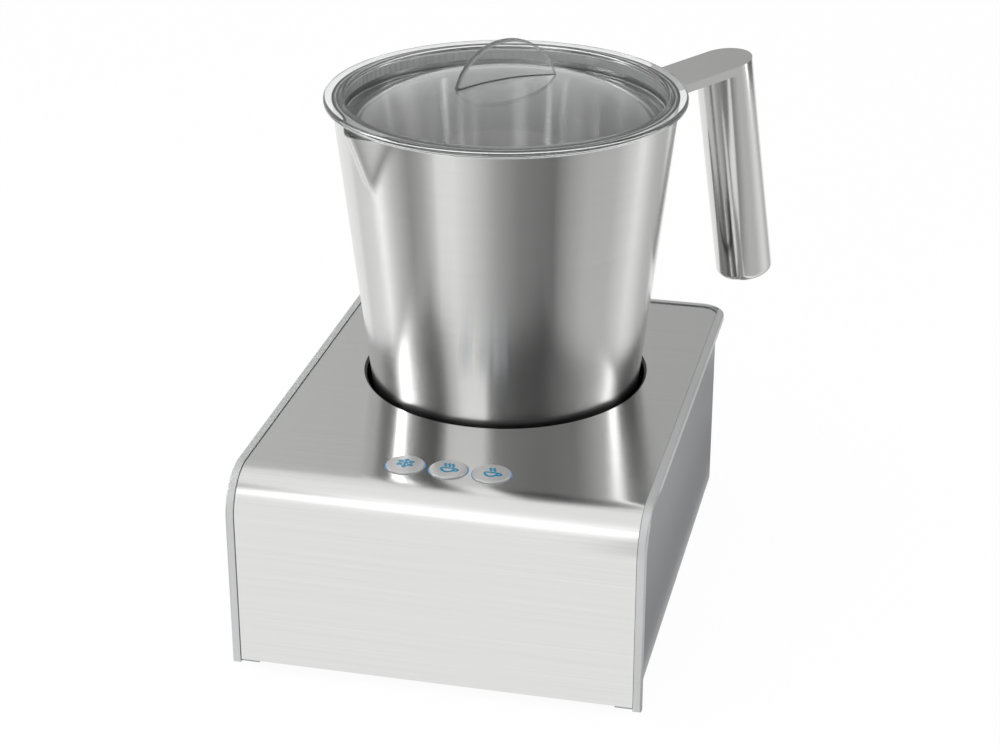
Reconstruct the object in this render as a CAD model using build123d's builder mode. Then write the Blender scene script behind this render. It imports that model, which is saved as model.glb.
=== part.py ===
from build123d import *

import os
from math import asin, cos, degrees, radians, sin, tan

os.makedirs("parts", exist_ok=True)

# Base, outside
base_width = 135.0
base_depth = 173.6
base_height = 67.1
foot_height = 2.5
bend_radius = 15.0
corner_radius = 9.2
least_radius = 0.4

# Rim band round the housing, and the walls that stand back behind it
rim_width = 2.72
rim_depth = 2.8
rim_proud = 0.4
rim_round = 0.6
wall = 2.5
ledge_width = 6.0

# Bent steel cover
sheet = 0.8
sheet_gap = 0.15
sheet_lift = 1.0

# Jug well
jug_setback = 70.7
hole_radius = 49.0
well_step = 0.8
well_depth = 23.2
well_wall = 1.8
well_flange = 7.0
flange_thickness = 1.6
rest_ring_radius = 32.0
rest_ring_width = 4.0
rest_ring_height = 0.6
leg_radius = 4.0
leg_gap = 0.5
leg_count = 4

# Base plate, feet and screws
plate = 2.5
plate_recess = 0.4
plate_gap = 0.3
foot_radius = 8.0
foot_peg_radius = 3.0
foot_chamfer = 0.6
foot_side = 23.5
foot_end = 16.8
screw_radius = 1.5
screw_head_radius = 2.9
screw_head_height = 1.8
screw_length = 14.0
screw_clearance = 0.1
screw_cross_length = 3.4
screw_cross_width = 0.8
boss_radius = 5.0
boss_height = 24.0
boss_inset = 0.5
boss_setback = 22.8
vent_width = 2.4
vent_length = 26.0
vent_pitch = 6.0
vent_count = 7
vent_setback = 20.8

# Buttons, their guide and the control board
button_radius = 6.25
button_pitch = 14.1
button_setback = 22.3
button_height = 1.0
button_crown = 0.45
button_round = 0.6
button_cap = 3.4
button_travel = 0.7
button_stem_radius = 2.6
button_stem = 9.0
button_gap = 0.3
guide_clearance = 0.08
ring_wall = 0.4
ring_length = 3.8
guide_thickness = 2.0
guide_width = 58.0
guide_depth = 14.0
guide_end = 3.0
post_radius = 1.8
post_span = 50.0
post_depth = 9.0
board = 1.6
board_width = 56.0
board_depth = 22.0
switch_size = 6.0
switch_height = 3.6
switch_play = 0.1
led_width = 3.0
led_depth = 1.6
led_height = 1.2
led_offset = 5.0

# Heating coil and its carrier
coil_inner = 24.0
coil_outer = 42.0
coil_height = 4.0
coil_gap = 0.5
carrier_radius = 48.2
carrier_thickness = 3.0
carrier_post_radius = 2.5
carrier_post_circle = 45.3
carrier_post_count = 3
carrier_screw_length = 6.0
ferrite_length = 20.0
ferrite_width = 6.0
ferrite_height = 3.0
ferrite_count = 6
sensor_radius = 1.9
sensor_circle = 19.6

# Motor and magnetic drive
motor_radius = 13.5
motor_room = 4.3
motor_round = 1.5
motor_nose_radius = 4.0
motor_nose_height = 2.4
bracket_radius = 21.0
bracket_thickness = 2.0
bracket_post_radius = 2.2
bracket_post_circle = 18.5
bracket_drop = 5.0
shaft_radius = 1.5
shaft_clearance = 0.05
shaft_foot = 6.0
holder_radius = 15.0
holder_height = 4.6
holder_gap = 1.4
holder_cover = 1.0
holder_bore = 16.2
drive_magnet_radius = 4.0
drive_magnet_height = 3.0
drive_magnet_circle = 9.5
drive_magnet_count = 4

# Power board and what stands on it
power_width = 84.0
power_front_gap = 7.8
power_leg_gap = 6.5
power_rise = 6.0
standoff_radius = 3.0
standoff_inset = 5.0
sink_width = 40.0
sink_depth = 16.0
sink_height = 20.0
sink_foot = 3.0
sink_fin = 1.6
sink_fin_count = 7
sink_place = (-20.0, 8.0)
capacitor_radius = 8.0
capacitor_height = 25.0
capacitor_places = ((14.0, 8.0), (32.0, 8.0))
choke_width = 22.0
choke_depth = 16.0
choke_height = 16.0
choke_place = (24.0, -12.0)
choke_bobbin = 3.0
choke_core = 5.0

# Cord gland
gland_side = -38.0
gland_width = 12.0
gland_height = 15.0
gland_rise = 8.6
gland_flange = 1.6
gland_lip = 1.5
gland_inner = 3.5
gland_fit = 0.05
cord_radius = 3.3

# Jug
jug_floor_radius = 44.0
jug_rim_radius = 57.4
jug_height = 119.9
jug_wall = 0.9
jug_floor = 1.0
jug_corner = 7.0
spout_turn = 231.0
spout_reach = 8.1
spout_half_width = 16.9
spout_drop = 28.0
spout_round = 4.0
spout_root = 4.4
spout_foot = 0.1
pin_radius = 2.0
pin_height = 10.4

# Handle
handle_turn = 41.0
handle_tilt = 9.0
arm_rise = 1.3
arm_thickness = 3.0
grip_circle = 85.1
grip_radius = 10.0
grip_length = 82.0
grip_wall = 1.0
grip_round = 2.6

# Whisk
whisk_lift = 0.6
whisk_radius = 20.0
whisk_ring_width = 2.4
whisk_ring_height = 5.5
whisk_arm_width = 2.6
whisk_arm_height = 2.2
whisk_arm_count = 6
whisk_tooth_count = 18
whisk_tooth_width = 3.0
whisk_tooth_depth = 2.6
whisk_base_radius = 12.5
whisk_base_height = 4.4
whisk_hub_radius = 4.6
whisk_hub_height = 12.6
whisk_clearance = 0.06
whisk_play = 0.1
magnet_ring_inner = 6.0
magnet_ring_outer = 11.0
magnet_ring_height = 3.0

# Lid
lid_radius = 60.2
lid_flange = 2.3
lid_flange_round = 0.9
lid_plug_inner = 53.6
lid_wall = 1.5
lid_plug_depth = 5.8
lid_dome_radius = 118.0
fin_radius = 19.0
fin_height = 13.3
fin_thickness = 2.6
fin_round = 0.8
seal_height = 3.0
seal_gap = 0.35

# Heights worked out from the feet up
base_bottom = foot_height
base_top = base_bottom + base_height
sheet_top = base_top - rim_proud
sheet_under = sheet_top - sheet
seat = rim_proud + sheet
plate_bottom = base_bottom + plate_recess
plate_top = plate_bottom + plate
well_floor_top = sheet_top - well_depth
well_floor_under = well_floor_top - well_wall
well_radius = hole_radius - well_step
jug_bottom = well_floor_top + rest_ring_height
jug_rim = jug_bottom + jug_height
jug_floor_top = jug_bottom + jug_floor
jug_flare = (jug_rim_radius - jug_floor_radius) / jug_height
coil_top = well_floor_under - coil_gap
carrier_top = coil_top - coil_height
carrier_under = carrier_top - carrier_thickness
bracket_under = carrier_under - bracket_drop
motor_height = bracket_under - plate_top - motor_room
holder_top = well_floor_under - holder_gap
lid_top = jug_rim + lid_flange

# Places along the base, from its middle
base_front = -base_depth / 2
base_rear = base_depth / 2
jug_back = base_rear - jug_setback
button_row = base_front + button_setback

# Where the handle points, and how far it carries the object's outline
outward = Vector(cos(radians(handle_turn)), sin(radians(handle_turn)), 0)
grip_foot = grip_circle + grip_length * sin(radians(handle_tilt))
reach_x = grip_foot * outward.X + grip_radius
reach_y = jug_back + grip_foot * outward.Y + grip_radius

# The origin is under the middle of the whole outline, on the surface it stands on
base_x = (base_width / 2 - max(reach_x, base_width / 2)) / 2
base_y = (base_depth / 2 - max(reach_y, base_depth / 2)) / 2
jug_x = base_x
jug_y = base_y + jug_back
margin = 5.0

side_plane = Plane((base_x, base_y, 0), x_dir=(0, 1, 0), z_dir=(1, 0, 0))
jug_axis = Axis((jug_x, jug_y, 0), (0, 0, 1))
jug_section = Plane((jug_x, jug_y, 0), x_dir=(1, 0, 0), z_dir=(0, -1, 0))
fin_plane = Plane((jug_x, jug_y, 0), x_dir=outward, z_dir=(outward.Y, -outward.X, 0))


def base_level(height):
    """A level plane over the middle of the base."""
    return Plane((base_x, base_y, height))


def jug_level(height, turn=0.0):
    """A level plane on the jug's axis, turned about it."""
    heading = (cos(radians(turn)), sin(radians(turn)), 0)
    return Plane((jug_x, jug_y, height), x_dir=heading)


def save(builder, name):
    """Label a finished piece and write it."""
    builder.part.label = name
    export_step(builder.part, f"parts/{name}.step")


def side_view(inset):
    """Side view of the base, drawn in along its front, its bend and its top."""
    front = base_front + inset
    top = base_top - inset
    bend = (base_front + bend_radius, base_top - bend_radius)
    with BuildSketch(side_plane) as view:
        with BuildLine():
            Polyline((base_rear, top), (base_rear, base_bottom), (front, base_bottom), (front, bend[1]))
            CenterArc(bend, bend_radius - inset, 90, 90)
            Line((bend[0], top), (base_rear, top))
        make_face()
    return view.sketch


def plan_view(inset, height=0.0):
    """Plan of the base, drawn in along its sides and its round-cornered rear."""
    rear = base_rear - inset
    front = base_front - margin
    with BuildSketch(base_level(height)) as view:
        with Locations((0, (rear + front) / 2)):
            Rectangle(base_width - 2 * inset, rear - front)
        fillet(vertices().group_by(Axis.Y)[-1], radius=max(corner_radius - inset, least_radius))
    return view.sketch


def skin(outer, inner, plan_outer, plan_inner=None):
    """A band that follows the front, bend and top between two insets, kept inside a plan."""
    with BuildPart() as band:
        extrude(side_view(outer), amount=base_width, both=True)
        extrude(side_view(inner), amount=base_width, both=True, mode=Mode.SUBTRACT)
        extrude(plan_view(plan_outer), amount=base_top, mode=Mode.INTERSECT)
        if plan_inner is not None:
            extrude(plan_view(plan_inner), amount=base_top, mode=Mode.SUBTRACT)
    return band.part


def round_rod(plane, places, radius, length, mode=Mode.ADD):
    """Upright round rods at the given places on a plane."""
    with BuildSketch(plane) as ends:
        with Locations(*places):
            Circle(radius)
    extrude(ends.sketch, amount=length, mode=mode)


def on_circle(radius, count, first=0.0):
    """Places evenly spaced on a circle."""
    turns = [radians(first + 360.0 / count * step) for step in range(count)]
    return [(radius * cos(turn), radius * sin(turn)) for turn in turns]


# Housing: side and rear walls, the ledge under the cover, and the rim band that frames it
boss_side = base_width / 2 - rim_width - wall - boss_radius + boss_inset
corners = [(side, end) for side in (-1, 1) for end in (-1, 1)]
boss_places = [(side * boss_side, end * (base_rear - boss_setback)) for side, end in corners]
rear_face = base_rear - rim_width
gland_plane = Plane((base_x + gland_side, base_y + rear_face, base_bottom), x_dir=(-1, 0, 0), z_dir=(0, 1, 0))

with BuildPart() as rim:
    add(skin(0, rim_depth, 0, rim_width))
    outer_faces = rim.faces().filter_by(Axis.X).group_by(Axis.X)
    rim_edges = outer_faces[0].edges() + outer_faces[-1].edges()
    fillet(rim_edges.group_by(SortBy.LENGTH)[-1], radius=rim_round)

with BuildPart() as housing:
    extrude(side_view(rim_depth), amount=base_width, both=True)
    extrude(plan_view(rim_width), amount=base_top, mode=Mode.INTERSECT)
    extrude(plan_view(rim_width + wall), amount=base_top, mode=Mode.SUBTRACT)
    add(skin(seat, rim_depth, rim_width, rim_width + ledge_width))
    add(rim.part)
    round_rod(base_level(plate_top), boss_places, boss_radius, boss_height)
    round_rod(base_level(plate_top), boss_places, screw_radius + screw_clearance, screw_length, Mode.SUBTRACT)
    with BuildSketch(gland_plane.offset(-wall)):
        Rectangle(gland_width, gland_height, align=(Align.CENTER, Align.MIN))
    extrude(amount=wall, mode=Mode.SUBTRACT)
save(housing, "housing")


# Steel cover: one sheet bent over the front and the top
button_places = [(step * button_pitch, button_row) for step in (-1, 0, 1)]
button_hole = button_radius + button_gap

with BuildPart() as front_top_cover:
    add(skin(rim_proud, seat, rim_width + sheet_gap))
    split(bisect_by=base_level(base_bottom + sheet_lift), keep=Keep.TOP)
    round_rod(jug_level(sheet_under), [(0, 0)], hole_radius, sheet, Mode.SUBTRACT)
    round_rod(base_level(sheet_under), button_places, button_hole, sheet, Mode.SUBTRACT)
save(front_top_cover, "front_top_cover")


# Base plate with its vents, feet and screws
foot_places = [(side * (base_width / 2 - foot_side), end * (base_rear - foot_end)) for side, end in corners]
well_outer = well_radius + well_wall
leg_places = on_circle(well_outer + leg_gap + leg_radius, leg_count, 45.0)
leg_screws = [(side, end + jug_back) for side, end in leg_places]
screw_places = boss_places + leg_screws
screw_hole = screw_radius + screw_clearance
leg_front = min(end for _, end in leg_screws) - leg_radius
power_front = base_front + power_front_gap
power_rear = leg_front - power_leg_gap
power_depth = power_rear - power_front
power_row = (power_front + power_rear) / 2
standoff_side = power_width / 2 - standoff_inset
standoff_end = power_depth / 2 - standoff_inset
standoff_places = [(side * standoff_side, end * standoff_end + power_row) for side, end in corners]

with BuildPart() as base_plate:
    extrude(plan_view(rim_width + wall + plate_gap, plate_bottom), amount=plate)
    extrude(side_view(rim_depth + plate_gap), amount=base_width, both=True, mode=Mode.INTERSECT)
    round_rod(base_level(plate_bottom), foot_places, foot_peg_radius, plate, Mode.SUBTRACT)
    round_rod(base_level(plate_bottom), screw_places, screw_hole, plate, Mode.SUBTRACT)
    head_hole = screw_head_radius + screw_clearance
    round_rod(base_level(plate_bottom), screw_places, head_hole, screw_head_height, Mode.SUBTRACT)
    with BuildSketch(base_level(plate_bottom)):
        with Locations((0, base_rear - vent_setback)):
            with GridLocations(vent_pitch, 0, vent_count, 1):
                SlotOverall(vent_length, vent_width, rotation=90)
    extrude(amount=plate, mode=Mode.SUBTRACT)
    round_rod(base_level(plate_top), standoff_places, standoff_radius, power_rise)
save(base_plate, "base_plate")

with BuildPart() as rubber_feet:
    round_rod(base_level(0), foot_places, foot_radius, plate_bottom)
    chamfer(rubber_feet.edges().group_by(Axis.Z)[0], length=foot_chamfer)
    round_rod(base_level(plate_bottom), foot_places, foot_peg_radius, plate)
save(rubber_feet, "rubber_feet")

with BuildPart() as base_screws:
    round_rod(base_level(plate_bottom), screw_places, screw_head_radius, screw_head_height)
    round_rod(base_level(plate_bottom), screw_places, screw_radius, screw_length)
    with BuildSketch(base_level(plate_bottom)):
        with Locations(*screw_places):
            Rectangle(screw_cross_length, screw_cross_width)
            Rectangle(screw_cross_width, screw_cross_length)
    extrude(amount=screw_cross_width, mode=Mode.SUBTRACT)
save(base_screws, "base_screws")


# Jug well: a flanged cup under the cover, on four legs that stand on the base plate
flange_under = sheet_under - flange_thickness
ring_edges = (rest_ring_radius - rest_ring_width / 2, rest_ring_radius + rest_ring_width / 2)
carrier_posts = on_circle(carrier_post_circle, carrier_post_count, 90.0)

with BuildPart() as jug_well:
    with BuildSketch(jug_section):
        with BuildLine():
            Polyline(
                (0, well_floor_under),
                (well_outer, well_floor_under),
                (well_outer, flange_under),
                (well_radius + well_flange, flange_under),
                (well_radius + well_flange, sheet_under),
                (well_radius, sheet_under),
                (well_radius, well_floor_top),
                (ring_edges[1], well_floor_top),
                (ring_edges[1], jug_bottom),
                (ring_edges[0], jug_bottom),
                (ring_edges[0], well_floor_top),
                (0, well_floor_top),
                close=True,
            )
        make_face()
    revolve(axis=jug_axis)
    post_length = well_floor_under - carrier_top
    round_rod(jug_level(carrier_top), carrier_posts, carrier_post_radius, post_length)
    round_rod(jug_level(carrier_top), carrier_posts, screw_hole, post_length, Mode.SUBTRACT)
save(jug_well, "jug_well")

with BuildPart() as well_legs:
    round_rod(jug_level(plate_top), leg_places, leg_radius, flange_under - plate_top)
    round_rod(jug_level(plate_top), leg_places, screw_hole, screw_length, Mode.SUBTRACT)
save(well_legs, "well_legs")


# Heating coil on its carrier, with ferrites below and a heat sensor beside it
with BuildPart() as coil_carrier:
    with BuildSketch(jug_level(carrier_under)):
        Circle(carrier_radius)
        Circle(holder_bore, mode=Mode.SUBTRACT)
        with Locations(*carrier_posts):
            Circle(screw_hole, mode=Mode.SUBTRACT)
    extrude(amount=carrier_thickness)
save(coil_carrier, "coil_carrier")

with BuildPart() as carrier_screws:
    head_level = jug_level(carrier_under - screw_head_height)
    round_rod(head_level, carrier_posts, screw_head_radius, screw_head_height)
    round_rod(jug_level(carrier_under), carrier_posts, screw_radius, carrier_screw_length)
save(carrier_screws, "carrier_screws")

with BuildPart() as induction_coil:
    with BuildSketch(jug_level(carrier_top)):
        Circle(coil_outer)
        Circle(coil_inner, mode=Mode.SUBTRACT)
    extrude(amount=coil_height)
save(induction_coil, "induction_coil")

with BuildPart() as ferrite_bars:
    with BuildSketch(jug_level(carrier_under)):
        with PolarLocations((coil_inner + coil_outer) / 2, ferrite_count):
            Rectangle(ferrite_length, ferrite_width)
    extrude(amount=-ferrite_height)
save(ferrite_bars, "ferrite_bars")

with BuildPart() as heat_sensor:
    round_rod(jug_level(carrier_top), [(0, -sensor_circle)], sensor_radius, well_floor_under - carrier_top)
save(heat_sensor, "heat_sensor")


# Motor under its bracket, with the shaft and magnets that turn the whisk through the floor
bracket_posts = on_circle(bracket_post_circle, carrier_post_count, 30.0)
bracket_top = bracket_under + bracket_thickness
motor_bottom = bracket_under - motor_height
shaft_bottom = motor_bottom + shaft_foot
shaft_top = holder_top - holder_cover

with BuildPart() as motor_bracket:
    with BuildSketch(jug_level(bracket_under)):
        Circle(bracket_radius)
        Circle(motor_nose_radius + screw_clearance, mode=Mode.SUBTRACT)
    extrude(amount=bracket_thickness)
    round_rod(jug_level(bracket_top), bracket_posts, bracket_post_radius, carrier_under - bracket_top)
save(motor_bracket, "motor_bracket")

with BuildPart() as motor:
    round_rod(jug_level(motor_bottom), [(0, 0)], motor_radius, motor_height)
    fillet(motor.edges().group_by(Axis.Z)[0], radius=motor_round)
    round_rod(jug_level(bracket_under), [(0, 0)], motor_nose_radius, motor_nose_height)
    bore_length = motor_nose_height + motor_height - shaft_foot
    round_rod(jug_level(shaft_bottom), [(0, 0)], shaft_radius + shaft_clearance, bore_length, Mode.SUBTRACT)
save(motor, "motor")

with BuildPart() as drive_shaft:
    shaft_length = shaft_top - shaft_bottom - shaft_clearance
    round_rod(jug_level(shaft_bottom + shaft_clearance), [(0, 0)], shaft_radius, shaft_length)
save(drive_shaft, "drive_shaft")

drive_magnet_places = on_circle(drive_magnet_circle, drive_magnet_count)
drive_magnet_bottom = holder_top - drive_magnet_height
holder_bottom = holder_top - holder_height

with BuildPart() as magnet_holder:
    round_rod(jug_level(holder_bottom), [(0, 0)], holder_radius, holder_height)
    round_rod(jug_level(holder_bottom), [(0, 0)], shaft_radius, shaft_top - holder_bottom, Mode.SUBTRACT)
    magnet_level = jug_level(drive_magnet_bottom)
    round_rod(magnet_level, drive_magnet_places, drive_magnet_radius, drive_magnet_height, Mode.SUBTRACT)
save(magnet_holder, "magnet_holder")

with BuildPart() as drive_magnets:
    round_rod(magnet_level, drive_magnet_places, drive_magnet_radius, drive_magnet_height)
save(drive_magnets, "drive_magnets")


# Buttons in their guide, over switches on the control board
cap_top = sheet_top + button_height
cap_edge = cap_top - button_crown
cap_bottom = cap_edge - button_cap
stem_bottom = cap_bottom - button_stem
switch_top = stem_bottom - button_travel - switch_play
board_top = switch_top - switch_height
guide_top = sheet_under - ring_length
guide_under = guide_top - guide_thickness
guide_middle = (0, button_row)
post_places = [(side * post_span / 2, end * post_depth / 2 + button_row) for side, end in corners]

for name, place in zip(("cold_froth_button", "hot_froth_button", "warm_milk_button"), button_places):
    centre = base_level(0).from_local_coords(Vector(*place))
    section = Plane(centre, x_dir=(1, 0, 0), z_dir=(0, -1, 0))
    with BuildPart() as button:
        with BuildSketch(section):
            with BuildLine():
                ThreePointArc((-button_radius, cap_edge), (0, cap_top), (button_radius, cap_edge))
                Polyline(
                    (button_radius, cap_edge),
                    (button_radius, cap_bottom),
                    (button_stem_radius, cap_bottom),
                    (button_stem_radius, stem_bottom),
                    (-button_stem_radius, stem_bottom),
                    (-button_stem_radius, cap_bottom),
                    (-button_radius, cap_bottom),
                    (-button_radius, cap_edge),
                )
            make_face()
            fillet(vertices().group_by(Axis.Y)[-1], radius=button_round)
            split(bisect_by=Plane.YZ)
        revolve(axis=Axis(centre, (0, 0, 1)))
    save(button, name)

with BuildPart() as light_rings:
    with BuildSketch(base_level(guide_top)):
        with Locations(*button_places):
            Circle(button_hole + ring_wall)
            Circle(button_hole, mode=Mode.SUBTRACT)
    extrude(amount=ring_length)
save(light_rings, "light_rings")

with BuildPart() as button_guide:
    with BuildSketch(base_level(guide_under)):
        with Locations(guide_middle):
            Rectangle(guide_width, guide_depth)
        with Locations(*button_places):
            Circle(button_stem_radius + guide_clearance, mode=Mode.SUBTRACT)
    extrude(amount=guide_thickness)
    with BuildSketch(base_level(guide_top)):
        with Locations(guide_middle):
            with GridLocations(guide_width - guide_end, 0, 2, 1):
                Rectangle(guide_end, guide_depth)
    extrude(amount=ring_length)
    round_rod(base_level(board_top), post_places, post_radius, guide_under - board_top)
save(button_guide, "button_guide")

with BuildPart() as control_board:
    with BuildSketch(base_level(board_top)):
        with Locations(guide_middle):
            Rectangle(board_width, board_depth)
    extrude(amount=-board)
save(control_board, "control_board")

with BuildPart() as button_switches:
    with BuildSketch(base_level(board_top)):
        with Locations(*button_places):
            Rectangle(switch_size, switch_size)
    extrude(amount=switch_height)
save(button_switches, "button_switches")

with BuildPart() as button_lights:
    with BuildSketch(base_level(board_top)):
        with Locations((0, led_offset)):
            with Locations(*button_places):
                Rectangle(led_width, led_depth)
    extrude(amount=led_height)
save(button_lights, "button_lights")


# Power board on its standoffs
power_under = plate_top + power_rise
power_top = power_under + board
power_level = Plane((base_x, base_y + power_row, power_top))

with BuildPart() as power_board:
    with BuildSketch(power_level):
        Rectangle(power_width, power_depth)
    extrude(amount=-board)
save(power_board, "power_board")

with BuildPart() as heat_sink:
    with BuildSketch(power_level):
        with Locations(sink_place):
            Rectangle(sink_width, sink_depth)
    extrude(amount=sink_foot)
    with BuildSketch(power_level):
        with Locations(sink_place):
            with GridLocations((sink_width - sink_fin) / (sink_fin_count - 1), 0, sink_fin_count, 1):
                Rectangle(sink_fin, sink_depth)
    extrude(amount=sink_height)
save(heat_sink, "heat_sink")

with BuildPart() as capacitors:
    round_rod(power_level, capacitor_places, capacitor_radius, capacitor_height)
    fillet(capacitors.edges().group_by(Axis.Z)[-1], radius=motor_round)
save(capacitors, "capacitors")

with BuildPart() as filter_choke:
    for level, inset, height in (
        (0, 0, choke_bobbin),
        (choke_bobbin, choke_core / 2, choke_height - 2 * choke_bobbin),
        (choke_height - choke_bobbin, 0, choke_bobbin),
    ):
        with BuildSketch(power_level.offset(level)):
            with Locations(choke_place):
                Rectangle(choke_width - inset, choke_depth - inset)
        extrude(amount=height)
save(filter_choke, "filter_choke")


# Cord gland: a flanged bush held in a notch at the foot of the rear wall
with BuildPart() as cord_gland:
    with BuildSketch(gland_plane):
        Rectangle(gland_width + 2 * gland_lip, gland_height + gland_lip, align=(Align.CENTER, Align.MIN))
    extrude(amount=gland_flange)
    fillet(cord_gland.edges().filter_by(Axis.Y).group_by(Axis.Z)[-1], radius=gland_lip)
    with BuildSketch(gland_plane.offset(-wall)):
        Rectangle(gland_width - 2 * gland_fit, gland_height - gland_fit, align=(Align.CENTER, Align.MIN))
    extrude(amount=wall)
    with BuildSketch(gland_plane.offset(-wall)):
        with Locations((0, plate_top - base_bottom)):
            Rectangle(
                gland_width + 2 * gland_lip,
                gland_height + gland_lip - plate_top + base_bottom,
                align=(Align.CENTER, Align.MIN),
            )
    extrude(amount=-gland_inner)
    with BuildSketch(gland_plane.offset(gland_flange)):
        with Locations((0, gland_rise)):
            Circle(cord_radius)
    extrude(amount=-(gland_flange + wall + gland_inner), mode=Mode.SUBTRACT)
save(cord_gland, "cord_gland")


# Jug: a tapered steel shell with a pressed pouring lip
def jug_radius(height):
    """Outer radius of the tapered jug at a height."""
    return jug_floor_radius + (height - jug_bottom) * jug_flare


def spout_section(height, inset, reach, half_width, nose):
    """Level section through the pouring lip, wide at the rim and nothing at its foot."""
    radius = jug_radius(height) - inset
    with BuildSketch(jug_level(height, spout_turn)) as section:
        with BuildLine():
            Polyline(
                (radius - spout_root, half_width),
                (radius - spout_root, -half_width),
                (radius + reach, 0),
                close=True,
            )
        make_face()
        fillet(section.vertices().group_by(Axis.X)[-1], radius=nose)
    return section.sketch


def jug_form(inset, bottom):
    """The solid form of the jug with its lip, drawn in by an inset, from its bottom to the rim."""
    with BuildPart() as form:
        with BuildSketch(jug_section):
            with BuildLine():
                Polyline(
                    (0, jug_rim),
                    (0, bottom),
                    (jug_radius(bottom) - inset, bottom),
                    (jug_rim_radius - inset, jug_rim),
                    close=True,
                )
            make_face()
            lower = vertices().group_by(Axis.Y)[0]
            fillet(lower.sort_by(Axis.X)[-1], radius=jug_corner - inset)
        revolve(axis=jug_axis)
        foot = spout_section(jug_rim - spout_drop, inset, spout_foot, spout_root, spout_foot)
        lip = spout_section(jug_rim, inset, spout_reach, spout_half_width, spout_round)
        loft([foot, lip], ruled=True)
    return form.part


jug_outside = jug_form(0, jug_bottom)

with BuildPart() as jug_shell:
    add(jug_outside)
    add(jug_form(jug_wall, jug_floor_top), mode=Mode.SUBTRACT)
save(jug_shell, "jug_shell")

with BuildPart() as whisk_pin:
    round_rod(jug_level(jug_floor_top), [(0, 0)], pin_radius, pin_height)
    chamfer(whisk_pin.edges().group_by(Axis.Z)[-1], length=pin_radius / 4)
save(whisk_pin, "whisk_pin")


# Handle: a flat arm welded under the rim, and a round grip square to it
tilt = radians(handle_tilt)
arm_end = Vector(jug_x, jug_y, jug_rim + arm_rise) + outward * grip_circle
arm_plane = Plane(
    arm_end,
    x_dir=outward * cos(tilt) + Vector(0, 0, sin(tilt)),
    z_dir=Vector(0, 0, cos(tilt)) - outward * sin(tilt),
)
arm_length = grip_circle - jug_floor_radius

with BuildPart() as handle_arm:
    with BuildSketch(arm_plane):
        Circle(grip_radius)
        Rectangle(arm_length, 2 * grip_radius, align=(Align.MAX, Align.CENTER))
    extrude(amount=-arm_thickness)
    add(jug_outside, mode=Mode.SUBTRACT)
save(handle_arm, "handle_arm")

with BuildPart() as handle_grip:
    with BuildSketch(arm_plane.offset(-arm_thickness)):
        Circle(grip_radius)
    extrude(amount=arm_thickness - grip_length)
    fillet(handle_grip.faces().sort_by(Axis.Z)[0].edges(), radius=grip_round)
    with BuildSketch(arm_plane.offset(-arm_thickness)):
        Circle(grip_radius - grip_wall)
    extrude(amount=arm_thickness + grip_wall - grip_length, mode=Mode.SUBTRACT)
save(handle_grip, "handle_grip")


# Whisk: a toothed ring on a hub that spins on the pin, with a ring magnet in its foot
whisk_bottom = jug_floor_top + whisk_lift
whisk_arm_bottom = whisk_bottom + whisk_base_height - whisk_arm_height
whisk_inner = whisk_radius - whisk_ring_width
pin_top = jug_floor_top + pin_height

with BuildPart() as whisk:
    round_rod(jug_level(whisk_bottom), [(0, 0)], whisk_base_radius, whisk_base_height)
    round_rod(jug_level(whisk_bottom), [(0, 0)], whisk_hub_radius, whisk_hub_height)
    with BuildSketch(jug_level(whisk_arm_bottom)):
        with PolarLocations(whisk_radius / 2, whisk_arm_count):
            Rectangle(whisk_radius - whisk_ring_width, whisk_arm_width)
    extrude(amount=whisk_arm_height)
    with BuildSketch(jug_level(whisk_arm_bottom)):
        Circle(whisk_radius)
        Circle(whisk_inner, mode=Mode.SUBTRACT)
    extrude(amount=whisk_ring_height)
    with BuildSketch(jug_level(whisk_arm_bottom + whisk_ring_height)):
        with PolarLocations(whisk_radius - whisk_ring_width / 2, whisk_tooth_count):
            Rectangle(2 * whisk_ring_width, whisk_tooth_width)
    extrude(amount=-whisk_tooth_depth, mode=Mode.SUBTRACT)
    with BuildSketch(jug_level(whisk_bottom)):
        Circle(magnet_ring_outer)
        Circle(magnet_ring_inner, mode=Mode.SUBTRACT)
    extrude(amount=magnet_ring_height, mode=Mode.SUBTRACT)
    bore_height = pin_top + whisk_play - whisk_bottom
    round_rod(jug_level(whisk_bottom), [(0, 0)], pin_radius + whisk_clearance, bore_height, Mode.SUBTRACT)
save(whisk, "whisk")

with BuildPart() as whisk_magnet:
    with BuildSketch(jug_level(whisk_bottom)):
        Circle(magnet_ring_outer)
        Circle(magnet_ring_inner, mode=Mode.SUBTRACT)
    extrude(amount=magnet_ring_height)
save(whisk_magnet, "whisk_magnet")


# Lid: a clear dome sunk inside a flange that rests on the jug's rim, with a half-moon grip
slope = asin(lid_plug_inner / lid_dome_radius)
dome_edge = jug_rim - lid_plug_depth
dome_centre = dome_edge - lid_dome_radius * cos(slope)
dome_top = dome_centre + lid_dome_radius
plug_outer = lid_plug_inner + lid_wall
plug_bottom = dome_edge - lid_wall * tan(slope) - lid_wall / cos(slope)
fin_middle = dome_top + fin_height - fin_radius
fin_bottom = fin_middle - fin_radius


def dome_sketch(radius, rim_points):
    """Half section under or over the dome: its round top, and the points that close it."""
    with BuildSketch(jug_section) as section:
        with BuildLine():
            crown = CenterArc((0, dome_centre), radius, 90 - degrees(slope), degrees(slope))
            Polyline(crown @ 0, *rim_points, crown @ 1)
        make_face()
    return section.sketch


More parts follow.
